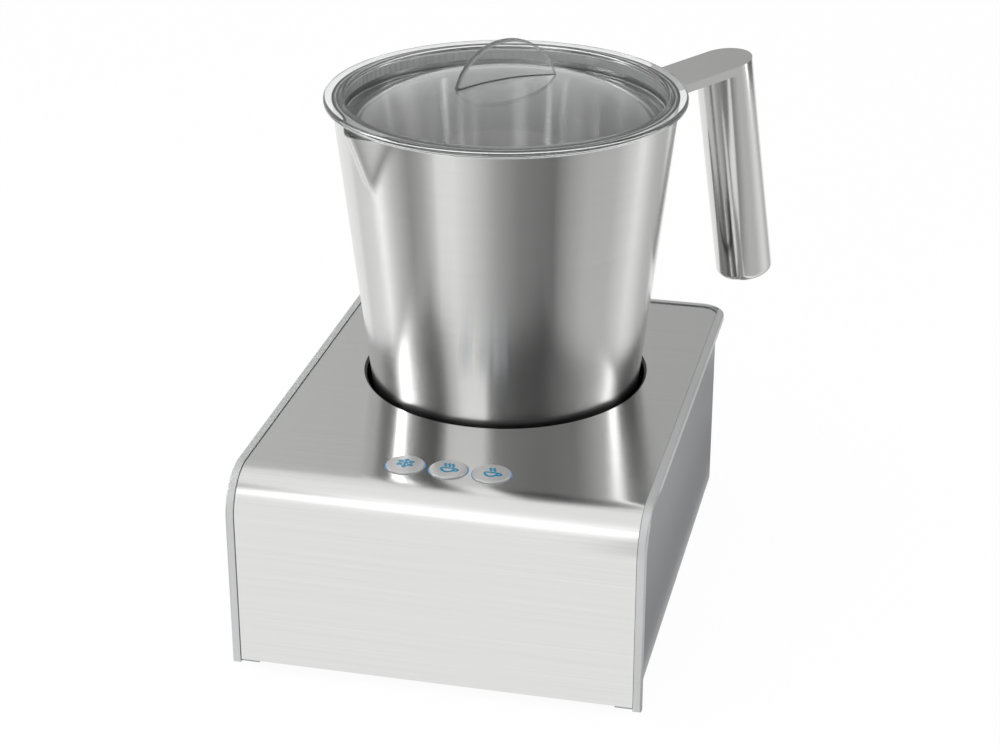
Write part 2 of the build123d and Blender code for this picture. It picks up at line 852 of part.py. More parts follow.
with BuildPart() as lid:
    with BuildSketch(fin_plane):
        with Locations((0, fin_middle)):
            Circle(fin_radius)
    extrude(amount=fin_thickness / 2, both=True)
    fillet(lid.edges(), radius=fin_round)
    flange_points = [
        (lid_plug_inner, lid_top),
        (lid_radius, lid_top),
        (lid_radius, jug_rim),
        (plug_outer, jug_rim),
        (plug_outer, plug_bottom),
        (0, plug_bottom),
    ]
    revolve(dome_sketch(lid_dome_radius, flange_points), axis=jug_axis)
    under_points = [(plug_outer, plug_bottom), (plug_outer, fin_bottom), (0, fin_bottom)]
    revolve(dome_sketch(lid_dome_radius - lid_wall, under_points), axis=jug_axis, mode=Mode.SUBTRACT)
    fillet(lid.edges().group_by(SortBy.LENGTH)[-1], radius=lid_flange_round)
save(lid, "lid")

seal_bottom = jug_rim - seal_height

with BuildPart() as lid_seal:
    with BuildSketch(jug_level(seal_bottom)):
        Circle(jug_radius(seal_bottom) - jug_wall - seal_gap)
        Circle(plug_outer, mode=Mode.SUBTRACT)
    extrude(amount=seal_height)
save(lid_seal, "lid_seal")
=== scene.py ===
"""Looks of a milk frother: a steel-covered base, and a steel jug with a pressed lip under a clear lid."""

import math
from functools import partial

import bmesh
import bpy
from mathutils import Matrix, Vector


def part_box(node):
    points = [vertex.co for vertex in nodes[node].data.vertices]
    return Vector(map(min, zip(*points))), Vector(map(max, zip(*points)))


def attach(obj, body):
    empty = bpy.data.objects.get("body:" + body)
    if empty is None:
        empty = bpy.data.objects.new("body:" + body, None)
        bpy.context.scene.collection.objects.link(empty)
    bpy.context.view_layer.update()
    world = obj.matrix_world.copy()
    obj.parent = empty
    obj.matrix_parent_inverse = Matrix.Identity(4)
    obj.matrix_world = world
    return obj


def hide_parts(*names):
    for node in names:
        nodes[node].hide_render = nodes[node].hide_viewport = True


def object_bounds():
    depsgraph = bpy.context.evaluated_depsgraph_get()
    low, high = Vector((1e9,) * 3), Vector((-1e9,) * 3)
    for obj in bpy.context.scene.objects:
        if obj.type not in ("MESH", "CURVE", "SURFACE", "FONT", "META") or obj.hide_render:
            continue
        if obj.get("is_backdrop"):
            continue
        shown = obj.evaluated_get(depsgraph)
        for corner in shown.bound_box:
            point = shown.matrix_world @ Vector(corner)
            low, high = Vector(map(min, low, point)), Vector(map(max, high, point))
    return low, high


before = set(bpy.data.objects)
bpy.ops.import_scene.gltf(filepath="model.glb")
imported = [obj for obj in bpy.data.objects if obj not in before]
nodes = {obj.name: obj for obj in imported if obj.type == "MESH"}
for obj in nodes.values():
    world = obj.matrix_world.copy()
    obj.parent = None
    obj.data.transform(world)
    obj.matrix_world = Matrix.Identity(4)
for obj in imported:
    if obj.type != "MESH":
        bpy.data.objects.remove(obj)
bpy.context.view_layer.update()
mm = 0.001

# Sizes of the jug and its pressed lip
JUG_FLOOR_RADIUS = 44.0 * mm
JUG_RIM_RADIUS = 57.4 * mm
JUG_WALL = 0.9 * mm
JUG_FLOOR = 1.0 * mm
JUG_CORNER = 7.0 * mm
JUG_SEGMENTS = 240
JUG_ROWS = 60
ROW_CROWDING = 1.5
LIP_TURN = math.radians(231.0)
LIP_REACH = 8.1 * mm
LIP_HALF_WIDTH = 16.9 * mm
LIP_ROOT = 4.4 * mm
LIP_DROP = 28.0 * mm
LIP_SOFTNESS = 2.4 * mm
LIP_SPAN = math.radians(36.0)
LIP_BLUNT = 0.002

# Sizes of the clear lid, and of the ball that trims its grip to the dome
LID_RADIUS = 60.2 * mm
LID_FLANGE = 2.3 * mm
LID_ROUND = 0.9 * mm
LID_PLUG = 53.6 * mm
LID_PLUG_DEPTH = 5.8 * mm
LID_WALL = 1.5 * mm
LID_DOME_RADIUS = 118.0 * mm
LID_CORNER = 0.8 * mm
LID_SEGMENTS = 240
DOME_STEPS = 28
FIN_RADIUS = 19.0 * mm
FIN_HEIGHT = 13.3 * mm
FIN_THICKNESS = 2.6 * mm
FIN_ROUND = 0.8 * mm
FIN_TURN = math.radians(41.0)
FIN_SEGMENTS = 160
BALL_SEGMENTS = 120
BALL_STEPS = 180

# Steps in a round corner, a rounded edge and the edge of the half-moon grip
CORNER_STEPS = 10
EDGE_STEPS = 8
FIN_STEPS = 6

# Sizes of the signs on the keys
KEY_CROWN = 0.45 * mm
SIGN_LIFT = 0.02 * mm
STROKE_STEP = 0.2 * mm
STROKE_SIDES = 8
SNOW_STROKE = 0.55 * mm
SNOW_REACH = 3.1 * mm
SNOW_HEART = 0.02 * SNOW_REACH
SNOW_ARMS = 6
CUP_STROKE = 0.85 * mm
CUP_WIDTH = 4.2 * mm
CUP_DEPTH = 2.5 * mm
CUP_STEPS = 14
CUP_TOP = -0.15 * CUP_DEPTH
EAR_WIDTH = 0.28 * CUP_WIDTH
EAR_HEIGHT = 0.32 * CUP_DEPTH
EAR_DROP = 0.3 * CUP_DEPTH
STEAM_FOOT = CUP_TOP + 0.3 * CUP_DEPTH
STEAM_GAP = 0.3 * CUP_WIDTH
STEAM_HEIGHT = 2.5 * mm
STEAM_SWAY = 0.32 * mm
STEAM_STEPS = 10

# Foot and sideways reach of each pair of twigs as shares of an arm, and their rise as a share of that reach
SNOW_TWIGS = ((0.42, 0.3), (0.68, 0.22))
TWIG_RISE = 0.7

# Copies of nodes: how near vertices join, which edges stay sharp and which faces merge
JOIN_DISTANCE = 0.001 * mm
SMOOTH_ANGLE = math.radians(28.0)
FLAT_ANGLE = math.radians(0.3)

# Shares, scales and sizes that make up the finishes
LINE_CONTRAST = 1.6
LINE_SHARE = 0.6
BAND_SHARE = 0.4
BAND_SCALE = 0.12
SCRATCH_ROUGHNESS = 0.65
SCRATCH_STRENGTH = 0.5
PATCH_ROUGHNESS = 0.35
PATCH_SCALE = 28.0
WIPE_SCALE = 55.0
GRAIN_SCALE = 2500.0
GRAIN_RELIEF = 0.02 * mm
GRAIN_STRENGTH = 0.3
PAINT_METALLIC = 0.35
PAINT_DRIFT = 0.06
RIM_STAND = 2.6 * mm
GUIDE_TONE = 900.0
GUIDE_ROUGHNESS = 0.35
LID_CLEARNESS = 0.93
LID_IOR = 1.49

# Camera of the photograph, from the middle of the base on the table
CAMERA_PLACE = Vector((164.33, -698.54, 405.64)) * mm
CAMERA_FORWARD = Vector((-0.20567, 0.88380, -0.42024))
CAMERA_LENS = 83.58
CAMERA_SENSOR = 36.0
CAMERA_REACH = 50.0

# Table, surround and lamps; turns are in degrees from the camera's side, round the jug
TABLE_REACH = 6.0
TABLE_ROUGHNESS = 0.9
TABLE_TONE = 2.0
TABLE_GLOW = 1.06
TABLE_WHITENESS = 0.9
SURROUND_LIGHT = 0.4
LAMP_TARGET_HEIGHT = 0.09
OVERHEAD_PLACE = Vector((-0.25, -0.1, 1.2))
OVERHEAD_SIZE = (0.7, 0.9)
OVERHEAD_POWER = 1.6
FRONT_LAMP_TURN = -28.0
FRONT_LAMP_DISTANCE = 1.0
FRONT_LAMP_HEIGHT = 0.52
FRONT_LAMP_SIZE = (0.46, 0.3)
FRONT_LAMP_POWER = 0.9

# Cards that only show in reflections: their places, and stops of turn and brightness
CARD_STEPS = 48
CARD_BRIGHTEST = 8.0
CARD_LIFT = 2.0 * mm
CARD_DISTANCE = 0.75
WALL_TOP = 1.25
REAR_TOP = 2.6
LEFT_FLOOR_START = 0.15
SIDE_FLOOR_START = 0.14
APRON_HEIGHT = 66.0 * mm
APRON_START = 0.1
APRON_END = 0.45
SKIRT_DISTANCE = 0.74
SKIRT_TOP = 0.36
WINDOW_FOOT = 0.58
WINDOW_TOP = 1.12
BESIDE_FRONT = -0.12
BESIDE_WIDTH = 0.03
BESIDE_PAST_REAR = 0.1
BESIDE_SHADE = 0.3
LEFT_FLOOR_SHADES = (
    (-125.0, 0.8), (-104.0, 0.95), (-92.0, 1.05), (-80.0, 0.66),
    (-66.0, 0.36), (-56.0, 0.52), (-46.0, 0.88),
)
APRON_SHADES = ((-32.0, 1.0), (-20.0, 0.76), (-5.0, 0.44), (8.0, 0.27), (30.0, 0.19))
SIDE_FLOOR_SHADES = (
    (30.0, 0.19), (42.0, 0.44), (55.0, 0.6), (75.0, 0.6),
    (95.0, 0.9), (106.0, 0.9), (118.0, 0.65), (135.0, 0.55),
)
LEFT_WALL_SHADES = (
    (-125.0, 0.4), (-112.0, 0.2), (-103.0, 0.3), (-97.0, 0.8), (-95.0, 7.0), (-90.5, 7.0),
    (-87.0, 0.8), (-79.0, 0.4), (-70.0, 0.15), (-57.0, 0.1), (-50.0, 0.4), (-45.0, 1.1),
)
RIGHT_WALL_SHADES = (
    (-17.0, 0.9), (-13.0, 0.3), (-3.0, 0.08), (12.0, 0.02), (30.0, 0.01),
    (53.0, 0.22), (75.0, 0.55), (91.0, 0.8), (95.0, 3.6), (99.0, 3.6),
    (102.0, 0.6), (106.0, 0.2), (112.0, 0.12), (138.0, 0.15), (150.0, 0.4),
)
SKIRT_SHADES = ((-17.0, 0.9), (-8.0, 0.4), (53.0, 0.3))
WINDOW_SHADES = ((-42.0, 1.7), (-10.0, 1.7))
REAR_WALL_SHADES = ((150.0, 0.42), (172.0, 0.46), (205.0, 0.62), (235.0, 0.62))
REAR_UPPER_SHADES = ((150.0, 0.8), (235.0, 0.95))


def middle(node):
    """The middle of a node's box."""
    low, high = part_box(node)
    return (low + high) / 2


base_middle = middle("housing")
jug_middle = middle("jug_well")
jug_low, jug_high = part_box("jug_shell")
jug_flare = (JUG_RIM_RADIUS - JUG_FLOOR_RADIUS) / (jug_high.z - jug_low.z)


# Node helpers


def ramp(tree, source, low, high):
    """A value in 0 to 1 spread over low to high."""
    spread = tree.nodes.new("ShaderNodeMapRange")
    spread.inputs["To Min"].default_value = low
    spread.inputs["To Max"].default_value = high
    tree.links.new(source, spread.inputs["Value"])
    return spread.outputs["Result"]


def math_node(tree, operation, *values):
    """A math node fed by sockets or plain numbers."""
    node = tree.nodes.new("ShaderNodeMath")
    node.operation = operation
    for socket, value in zip(node.inputs, values):
        if isinstance(value, (int, float)):
            socket.default_value = value
        else:
            tree.links.new(value, socket)
    return node.outputs[0]


def vector_parts(tree, vector):
    """The three parts of a vector."""
    split = tree.nodes.new("ShaderNodeSeparateXYZ")
    tree.links.new(vector, split.inputs[0])
    return split.outputs["X"], split.outputs["Y"], split.outputs["Z"]


def vector_from(tree, **parts):
    """A vector made from its named parts."""
    join = tree.nodes.new("ShaderNodeCombineXYZ")
    for label, value in parts.items():
        tree.links.new(value, join.inputs[label])
    return join.outputs["Vector"]


def tint(tree, source, dark, light):
    """A colour between two, by a value in 0 to 1."""
    mix = tree.nodes.new("ShaderNodeMix")
    mix.data_type = "RGBA"
    colours = [socket for socket in mix.inputs if socket.type == "RGBA"]
    colours[0].default_value = (*dark, 1.0)
    colours[1].default_value = (*light, 1.0)
    tree.links.new(source, mix.inputs["Factor"])
    return next(socket for socket in mix.outputs if socket.type == "RGBA")


def noise_group(name, *layers):
    """A shader group of noise over one vector. A layer names its output and the input that scales it, and
    gives that input's usual value and the noise's detail."""
    group = bpy.data.node_groups.new(name, "ShaderNodeTree")
    group.interface.new_socket("Vector", in_out="INPUT", socket_type="NodeSocketVector")
    for output, scale, usual, _ in layers:
        socket = group.interface.new_socket(scale, in_out="INPUT", socket_type="NodeSocketFloat")
        socket.default_value = usual
        group.interface.new_socket(output, in_out="OUTPUT", socket_type="NodeSocketFloat")
    given = group.nodes.new("NodeGroupInput")
    result = group.nodes.new("NodeGroupOutput")
    for output, scale, _, detail in layers:
        texture = group.nodes.new("ShaderNodeTexNoise")
        texture.inputs["Detail"].default_value = detail
        group.links.new(given.outputs[scale], texture.inputs["Scale"])
        group.links.new(given.outputs["Vector"], texture.inputs["Vector"])
        group.links.new(texture.outputs["Fac"], result.inputs[output])
    return group


# Long scratches over broad bands, patches left by wiping, and moulded grain with slow changes of tone
BRUSHING = noise_group("brushing", ("Scratches", "Fine", 1.0, 3.0), ("Bands", "Broad", 0.1, 1.0))
HANDLING = noise_group("handling", ("Patches", "Scale", 30.0, 4.0))
MOULDING = noise_group("moulding", ("Grain", "Grain", GRAIN_SCALE, 2.0), ("Tone", "Tone", 18.0, 3.0))


def start_material(name):
    """A new node material; returns it with its tree and its Principled shader."""
    material = bpy.data.materials.new(name)
    material.use_nodes = True
    return material, material.node_tree, material.node_tree.nodes["Principled BSDF"]


def place_group(tree, group, vector, **values):
    """A shader group in a material, fed with a vector and its own values."""
    placed = tree.nodes.new("ShaderNodeGroup")
    placed.node_tree = group
    tree.links.new(vector, placed.inputs["Vector"])
    for label, value in values.items():
        placed.inputs[label].default_value = value
    return placed


def object_vector(tree):
    """Coordinates fixed to the object."""
    return tree.nodes.new("ShaderNodeTexCoord").outputs["Object"]


def uv_vector(tree, uv_name):
    """A piece's own UV map."""
    place = tree.nodes.new("ShaderNodeUVMap")
    place.uv_map = uv_name
    return place.outputs["UV"]


def add_bump(tree, shader, height, depth, strength):
    """Relief on a shader's normal."""
    bump = tree.nodes.new("ShaderNodeBump")
    bump.inputs["Distance"].default_value = depth
    bump.inputs["Strength"].default_value = strength
    tree.links.new(height, bump.inputs["Height"])
    tree.links.new(bump.outputs["Normal"], shader.inputs["Normal"])


def stretched_vector(tree, scale, uv_name):
    """Coordinates stretched along the scratches of brushed metal."""
    mapping = tree.nodes.new("ShaderNodeMapping")
    mapping.inputs["Scale"].default_value = scale
    source = uv_vector(tree, uv_name) if uv_name else object_vector(tree)
    tree.links.new(source, mapping.inputs["Vector"])
    return mapping.outputs["Vector"]


def beyond(tree, uv_name, travel, share):
    """One up to a distance along a UV map's first part, and a share past it."""
    along, _, _ = vector_parts(tree, uv_vector(tree, uv_name))
    return ramp(tree, math_node(tree, "GREATER_THAN", along, travel), 1.0, share)


def brushed_metal(name, scale, dark, light, rough, bend, relief, uv_name=None, inside=None):
    """Brushed metal with scratches one way. Bend is how far highlights stretch across them. Inside is where
    along the UV map an inner face starts, with its shares of the roughness and of the relief."""
    material, tree, shader = start_material(name)
    compute = partial(math_node, tree)
    shader.inputs["Metallic"].default_value = 1.0
    shader.inputs["Anisotropic"].default_value = bend
    vector = stretched_vector(tree, scale, uv_name)
    brushed = place_group(tree, BRUSHING, vector, Fine=1.0, Broad=BAND_SCALE)
    patches = place_group(tree, HANDLING, object_vector(tree), Scale=PATCH_SCALE)
    scratches = brushed.outputs["Scratches"]
    lines = compute("MULTIPLY_ADD", scratches, LINE_CONTRAST, 0.5 - LINE_CONTRAST / 2)
    bands = ramp(tree, brushed.outputs["Bands"], 0.0, BAND_SHARE)
    tone = compute("ADD", compute("MULTIPLY", lines, LINE_SHARE), bands)
    tree.links.new(tint(tree, tone, dark, light), shader.inputs["Base Color"])
    fine = ramp(tree, scratches, 0.0, SCRATCH_ROUGHNESS)
    blend = compute("MULTIPLY_ADD", patches.outputs["Patches"], PATCH_ROUGHNESS, fine)
    roughness = ramp(tree, blend, *rough)
    height = scratches
    if inside:
        start, rough_share, relief_share = inside
        roughness = compute("MULTIPLY", roughness, beyond(tree, uv_name, start, rough_share))
        height = compute("MULTIPLY", height, beyond(tree, uv_name, start, relief_share))
    tree.links.new(roughness, shader.inputs["Roughness"])
    add_bump(tree, shader, height, relief, SCRATCH_STRENGTH)
    if uv_name:
        tangent = tree.nodes.new("ShaderNodeTangent")
        tangent.direction_type = "UV_MAP"
        tangent.uv_map = uv_name
        tree.links.new(tangent.outputs["Tangent"], shader.inputs["Tangent"])
    return material


def moulded(name, dark, light, rough, metallic=0.0, grain=GRAIN_SCALE, relief=GRAIN_RELIEF):
    """Moulded, painted or soft material with fine grain."""
    material, tree, shader = start_material(name)
    shader.inputs["Metallic"].default_value = metallic
    surface = place_group(tree, MOULDING, object_vector(tree), Grain=grain)
    tree.links.new(tint(tree, surface.outputs["Tone"], dark, light), shader.inputs["Base Color"])
    tree.links.new(ramp(tree, surface.outputs["Grain"], *rough), shader.inputs["Roughness"])
    add_bump(tree, shader, surface.outputs["Grain"], relief, GRAIN_STRENGTH)
    return material


def housing_paint_with_rim_light(name, wall, rim, rough):
    """Silver paint with fine grain, coloured lighter on the rim that stands out from the walls: painted
    light on the rim, painted shade on the walls.
    """
    material, tree, shader = start_material(name)
    compute = partial(math_node, tree)
    shader.inputs["Metallic"].default_value = PAINT_METALLIC
    place = object_vector(tree)
    east, north, _ = vector_parts(tree, place)
    low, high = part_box("housing")
    # The rim band at the sides and rear gets the light colour and the walls the dark one: painted light and
    # painted shade.
    aside = compute("ABSOLUTE", compute("SUBTRACT", east, base_middle.x))
    lit_rim_side = compute("GREATER_THAN", aside, (high.x - low.x) / 2 - RIM_STAND)
    lit_rim_rear = compute("GREATER_THAN", north, high.y - RIM_STAND)
    surface = place_group(tree, MOULDING, place, Grain=GRAIN_SCALE)
    drift = ramp(tree, surface.outputs["Tone"], -PAINT_DRIFT, PAINT_DRIFT)
    tone = compute("ADD", drift, compute("MAXIMUM", lit_rim_side, lit_rim_rear))
    tree.links.new(tint(tree, tone, wall, rim), shader.inputs["Base Color"])
    tree.links.new(ramp(tree, surface.outputs["Grain"], *rough), shader.inputs["Roughness"])
    add_bump(tree, shader, surface.outputs["Grain"], GRAIN_RELIEF, GRAIN_STRENGTH)
    return material


def glowing(name, dark, light, strength):
    """A blue light guide lit from within, or a printed sign given a glow that is painted light."""
    material, tree, shader = start_material(name)
    shader.inputs["Roughness"].default_value = GUIDE_ROUGHNESS
    shader.inputs["Emission Strength"].default_value = strength
    surface = place_group(tree, MOULDING, object_vector(tree), Tone=GUIDE_TONE)
    colour = tint(tree, surface.outputs["Tone"], dark, light)
    tree.links.new(colour, shader.inputs["Base Color"])
    tree.links.new(colour, shader.inputs["Emission Color"])
    return material


def clear_plastic(name, dark, light, rough):
    """Clear polished plastic with a trace of haze and faint wiping marks."""
    material, tree, shader = start_material(name)
    shader.inputs["Transmission Weight"].default_value = LID_CLEARNESS
    shader.inputs["IOR"].default_value = LID_IOR
    patches = place_group(tree, HANDLING, object_vector(tree), Scale=WIPE_SCALE).outputs["Patches"]
    tree.links.new(tint(tree, patches, dark, light), shader.inputs["Base Color"])
    tree.links.new(ramp(tree, patches, *rough), shader.inputs["Roughness"])
    return material


STEEL_SHEET = brushed_metal(
    "brushed_sheet", (3800.0, 12.0, 1.0), (0.69, 0.69, 0.685), (0.78, 0.78, 0.775), (0.13, 0.2),
    bend=0.9, relief=0.002 * mm, uv_name="sheet",
)
STEEL_HANDLE = brushed_metal(
    "polished_handle", (900.0, 900.0, 60.0), (0.66, 0.66, 0.655), (0.71, 0.71, 0.705), (0.12, 0.17),
    bend=0.2, relief=0.0005 * mm,
)
# Dark walls and a light rim of the same silver paint: painted shade and painted light.
SILVER_PAINT_AND_RIM_LIGHT = housing_paint_with_rim_light("silver_paint", (0.43, 0.44, 0.45), (0.84, 0.845, 0.85), (0.36, 0.46))
KEY_SILVER = moulded(
    "key_silver", (0.76, 0.755, 0.75), (0.84, 0.835, 0.83), (0.3, 0.4), metallic=0.3, grain=4000.0
)
# The printed blue signs on the keys are given a faint glow: painted light.
KEY_SIGN_PRINT_AND_PAINTED_GLOW = glowing("key_sign", (0.006, 0.27, 0.48), (0.012, 0.34, 0.57), 0.16)
BLUE_LIGHT = glowing("blue_light", (0.02, 0.3, 0.62), (0.05, 0.42, 0.8), 0.6)
CLEAR_LID = clear_plastic("clear_lid", (0.955, 0.965, 0.965), (0.985, 0.99, 0.99), (0.0, 0.012))
CLEAR_SEAL = moulded("clear_seal", (0.7, 0.71, 0.71), (0.77, 0.78, 0.78), (0.35, 0.45))
BLACK_CUP = moulded("black_cup", (0.012, 0.012, 0.013), (0.02, 0.02, 0.021), (0.32, 0.45))
DARK_MOULD = moulded("dark_mould", (0.05, 0.05, 0.052), (0.07, 0.07, 0.073), (0.42, 0.55), grain=1800.0)
PALE_MOULD = moulded("pale_mould", (0.62, 0.62, 0.6), (0.7, 0.7, 0.68), (0.4, 0.5))
WHISK_MOULD = moulded("whisk_mould", (0.035, 0.035, 0.037), (0.05, 0.05, 0.052), (0.3, 0.4))
SOFT_RUBBER = moulded("soft_rubber", (0.02, 0.02, 0.02), (0.032, 0.032, 0.032), (0.6, 0.75), grain=1500.0)
PLATED = moulded("plated_steel", (0.5, 0.5, 0.51), (0.62, 0.62, 0.63), (0.22, 0.34), metallic=1.0)
COPPER = moulded(
    "copper_winding", (0.5, 0.2, 0.09), (0.66, 0.3, 0.15), (0.25, 0.4),
    metallic=1.0, grain=900.0, relief=0.2 * mm,
)
FERRITE = moulded("ferrite", (0.07, 0.07, 0.073), (0.1, 0.1, 0.104), (0.5, 0.65))
SENSOR = moulded("sensor_cap", (0.55, 0.42, 0.2), (0.66, 0.52, 0.28), (0.25, 0.35), metallic=1.0)
BOARD = moulded("green_board", (0.015, 0.12, 0.05), (0.03, 0.18, 0.08), (0.25, 0.4), grain=700.0)
SINK = moulded("drawn_aluminium", (0.6, 0.6, 0.61), (0.7, 0.7, 0.71), (0.3, 0.42), metallic=1.0)
SLEEVE = moulded("shrunk_sleeve", (0.02, 0.02, 0.035), (0.03, 0.03, 0.05), (0.25, 0.4))
TAPE = moulded("wound_tape", (0.42, 0.3, 0.07), (0.52, 0.38, 0.1), (0.4, 0.55))


# Pieces that stand for nodes


def dress(mesh, material):
    """Give a mesh its finish."""
    mesh.materials.clear()
    mesh.materials.append(material)


def finish_piece(piece, material, body, slot_name, *stands_for):
    """Dress a new piece, put it on its body and let it stand for its nodes."""
    dress(piece.data, material)
    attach(piece, body)
    if stands_for:
        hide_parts(*stands_for)


def mesh_from(form, name):
    """A mesh from a finished form."""
    mesh = bpy.data.meshes.new(name)
    form.to_mesh(mesh)
    form.free()
    return mesh


def new_piece(name, data):
    """An object at the origin for a finished mesh, a lamp or a camera."""
    piece = bpy.data.objects.new(name, data)
    bpy.context.scene.collection.objects.link(piece)
    return piece


def made_plain(piece):
    """Turn a piece with modifiers into a plain mesh."""
    bpy.context.view_layer.update()
    evaluated = piece.evaluated_get(bpy.context.evaluated_depsgraph_get())
    mesh = bpy.data.meshes.new_from_object(evaluated)
    piece.modifiers.clear()
    old = piece.data
    piece.data = mesh
    bpy.data.meshes.remove(old)
    return piece


def shade_smooth(mesh):
    """Smooth shading with sharp creases kept."""
    mesh.polygons.foreach_set("use_smooth", [True] * len(mesh.polygons))
    mesh.set_sharp_from_angle(angle=SMOOTH_ANGLE)


def true_normals(piece):
    """Smooth shading that leaves the flats of a piece flat."""
    shade_smooth(piece.data)
    weighted = piece.modifiers.new("weighted", "WEIGHTED_NORMAL")
    weighted.keep_sharp = True
    return made_plain(piece)


def smooth_copy(node, name, flat_angle=0.0):
    """A node's own form, joined up and smooth, with true normals on its flats. Faces within an angle are
    merged. Normals stored in the mesh would keep its sharp edges from being found, so they go."""
    mesh = nodes[node].data.copy()
    form = bmesh.new()
    form.from_mesh(mesh)
    bmesh.ops.remove_doubles(form, verts=form.verts, dist=JOIN_DISTANCE)
    if flat_angle:
        bmesh.ops.dissolve_limit(form, angle_limit=flat_angle, verts=form.verts, edges=form.edges)
    form.to_mesh(mesh)
    form.free()
    stored = mesh.attributes.get("custom_normal")
    if stored:
        mesh.attributes.remove(stored)
    return true_normals(new_piece(name, mesh))


def add_sheet_uv(mesh):
    """A UV map of the bent sheet: along it from front to rear, then across it."""
    layer = mesh.uv_layers.new(name="sheet")
    for loop in mesh.loops:
        point = mesh.vertices[loop.vertex_index].co
        layer.data[loop.index].uv = (point.y - point.z, point.x)


cover = smooth_copy("front_top_cover", "steel_cover")
add_sheet_uv(cover.data)
finish_piece(cover, STEEL_SHEET, "base", "brushed_steel", "front_top_cover")
for node, name, material, body, slot_name, flat_angle in (
    ("housing", "silver_housing", SILVER_PAINT_AND_RIM_LIGHT, "base", "silver_plastic", 0.0),
    ("handle_arm", "flat_arm", STEEL_HANDLE, "jug", "jug_steel", FLAT_ANGLE),
    ("handle_grip", "round_grip", STEEL_HANDLE, "jug", "jug_steel", 0.0),
    ("cord_gland", "inlet_bush", SOFT_RUBBER, "base", "black_rubber", 0.0),
    ("jug_well", "black_well", BLACK_CUP, "base", "black_plastic", 0.0),
    ("whisk", "toothed_whisk", WHISK_MOULD, "whisk_body", "whisk_plastic", 0.0),
    ("rubber_feet", "soft_feet", SOFT_RUBBER, "base", "black_rubber", 0.0),
):
    finish_piece(smooth_copy(node, name, flat_angle), material, body, slot_name, node)


# Jug: a turned shell whose rim is pressed out into a lip by a rule


def new_shape_tree(name, sizes, counts=()):
    """A Geometry Nodes tree with a geometry in and out, named sizes and counts, and a finish."""
    tree = bpy.data.node_groups.new(name, "GeometryNodeTree")
    tree.interface.new_socket("Geometry", in_out="INPUT", socket_type="NodeSocketGeometry")
    for label in sizes:
        tree.interface.new_socket(label, in_out="INPUT", socket_type="NodeSocketFloat")
    for label in counts:
        tree.interface.new_socket(label, in_out="INPUT", socket_type="NodeSocketInt")
    tree.interface.new_socket("Finish", in_out="INPUT", socket_type="NodeSocketMaterial")
    tree.interface.new_socket("Geometry", in_out="OUTPUT", socket_type="NodeSocketGeometry")
    return tree, tree.nodes.new("NodeGroupInput"), tree.nodes.new("NodeGroupOutput")


def end_tree(tree, geometry, finish, result):
    """End a tree with plain geometry in its finish."""
    realize = tree.nodes.new("GeometryNodeRealizeInstances")
    paint = tree.nodes.new("GeometryNodeSetMaterial")
    tree.links.new(geometry, realize.inputs["Geometry"])
    tree.links.new(realize.outputs["Geometry"], paint.inputs["Geometry"])
    tree.links.new(finish, paint.inputs["Material"])
    tree.links.new(paint.outputs["Geometry"], result.inputs["Geometry"])


def use_tree(piece, tree, **values):
    """Put a tree on a piece with its named sizes, and keep its result."""
    modifier = piece.modifiers.new(tree.name, "NODES")
    modifier.node_group = tree
    for item in tree.interface.items_tree:
        label = item.name.replace(" ", "_")
        if item.in_out == "INPUT" and label in values:
            modifier[item.identifier] = values[label]
    made_plain(piece)


def place_parts(tree):
    """The three parts of a point's place."""
    return vector_parts(tree, tree.nodes.new("GeometryNodeInputPosition").outputs["Position"])


def pressed_lip_tree():
    """Pushes a turned jug out into a pouring lip that grows from nothing to its full reach at the rim."""
    sizes = ["Axis X", "Axis Y", "Rim", "Rim Radius", "Flare", "Turn", "Reach", "Half Width"]
    sizes += ["Root", "Drop", "Softness", "Span", "Blunt"]
    tree, given, result = new_shape_tree("pressed_lip", sizes)
    compute = partial(math_node, tree)
    size = given.outputs
    x, y, height = place_parts(tree)
    east = compute("SUBTRACT", x, size["Axis X"])
    north = compute("SUBTRACT", y, size["Axis Y"])
    turn = compute("SUBTRACT", compute("ARCTAN2", north, east), size["Turn"])
    away = compute("ADD", compute("MULTIPLY", east, east), compute("MULTIPLY", north, north))
    radius = compute("SQRT", away)
    below = compute("SUBTRACT", size["Rim"], height)
    rise = compute("SUBTRACT", 1.0, compute("DIVIDE", below, size["Drop"]))
    rise = compute("MINIMUM", compute("MAXIMUM", rise, 0.0), 1.0)
    side = compute("SUBTRACT", size["Rim Radius"], compute("MULTIPLY", below, size["Flare"]))
    tip = compute("ADD", side, compute("MULTIPLY", size["Reach"], rise))
    depth = compute("ADD", size["Root"], compute("MULTIPLY", size["Reach"], rise))
    spread = compute("SUBTRACT", size["Half Width"], size["Root"])
    half = compute("ADD", size["Root"], compute("MULTIPLY", spread, rise))
    sine = compute("SINE", turn)
    cosine = compute("COSINE", turn)
    blunt = compute("SQRT", compute("ADD", compute("MULTIPLY", sine, sine), size["Blunt"]))
    slant = compute("ADD", compute("DIVIDE", blunt, half), compute("DIVIDE", cosine, depth))
    nose = compute("DIVIDE", compute("DIVIDE", tip, depth), slant)
    facing = compute("GREATER_THAN", cosine, compute("COSINE", size["Span"]))
    nose = compute("MULTIPLY", nose, facing)
    soft = compute("MULTIPLY", size["Softness"], rise)
    pushed = compute("SMOOTH_MAX", side, nose, soft)
    share = compute("DIVIDE", compute("SUBTRACT", pushed, side), radius)
    share = compute("MAXIMUM", share, 0.0)
    offset = vector_from(tree, X=compute("MULTIPLY", east, share), Y=compute("MULTIPLY", north, share))
    move = tree.nodes.new("GeometryNodeSetPosition")
    tree.links.new(size["Geometry"], move.inputs["Geometry"])
    tree.links.new(offset, move.inputs["Offset"])
    end_tree(tree, move.outputs["Geometry"], size["Finish"], result)
    return tree


